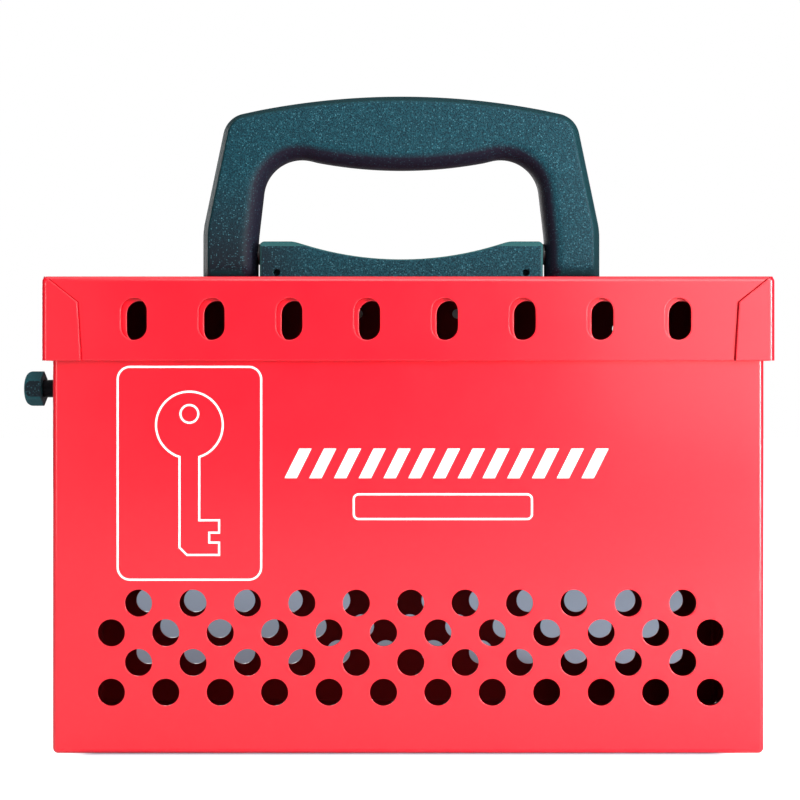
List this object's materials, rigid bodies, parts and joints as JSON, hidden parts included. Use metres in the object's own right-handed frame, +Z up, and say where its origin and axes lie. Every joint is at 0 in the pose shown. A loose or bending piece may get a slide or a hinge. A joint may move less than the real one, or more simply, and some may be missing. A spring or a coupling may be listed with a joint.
{
  "type": "group lockout box",
  "caption": "Carryable sheet steel key box with a hinged lid, a row of padlock slots along the front, perforated walls, a push button and a folding top handle.",
  "frame": {"origin": "centre of the case's base", "axes": "+X to the right along the lid, +Y to the back, +Z up, as the box stands on its base"},
  "size_m": [0.3078, 0.1005, 0.2743],
  "materials": {
    "red_paint": "glossy powder coat",
    "zinc_plate": "zinc plated",
    "handle_plastic": "fine grained moulding",
    "button_plastic": "satin moulding",
    "black_steel": "black oxide",
    "black_nylon": "matt",
    "spring_steel": "drawn wire",
    "brass": "turned"
  },
  "bodies": {
    "case": {"case_shell": "red_paint", "back_panel": "red_paint", "hinge_leaf_case": "zinc_plate", "hinge_pin": "zinc_plate", "case_rivets": "zinc_plate", "button_bush": "zinc_plate", "bush_nut": "zinc_plate", "guide_bracket": "zinc_plate", "button_spring": "spring_steel"},
    "lid": {"lid_shell": "red_paint", "hinge_leaf_lid": "zinc_plate", "lid_rivets": "zinc_plate", "lid_catch": "zinc_plate", "handle_saddle": "handle_plastic", "handle_pivots": "zinc_plate", "pivot_washers": "black_nylon", "saddle_inserts": "brass", "backing_plate": "zinc_plate", "screw_washers": "zinc_plate", "saddle_screws": "zinc_plate"},
    "handle": {"handle_grip": "handle_plastic"},
    "button": {"button_head": "button_plastic", "button_shaft": "black_steel"}
  },
  "joints": [
    {"name": "lid_hinge", "type": "hinge", "parent": "case", "child": "lid", "pos_m": [0, 0.04745, 0.18975], "axis": [-1, 0, 0], "range_deg": [0, 100]},
    {"name": "handle_fold", "type": "hinge", "parent": "lid", "child": "handle", "pos_m": [-0.0028, 0, 0.2055], "axis": [1, 0, 0], "range_deg": [-90, 90]},
    {"name": "button_press", "type": "slide", "parent": "case", "child": "button", "axis": [1, 0, 0], "range_m": [0, 0.0065], "stiffness_N_per_m": 300, "springref_m": -0.01, "deforming": ["button_spring"]}
  ]
}
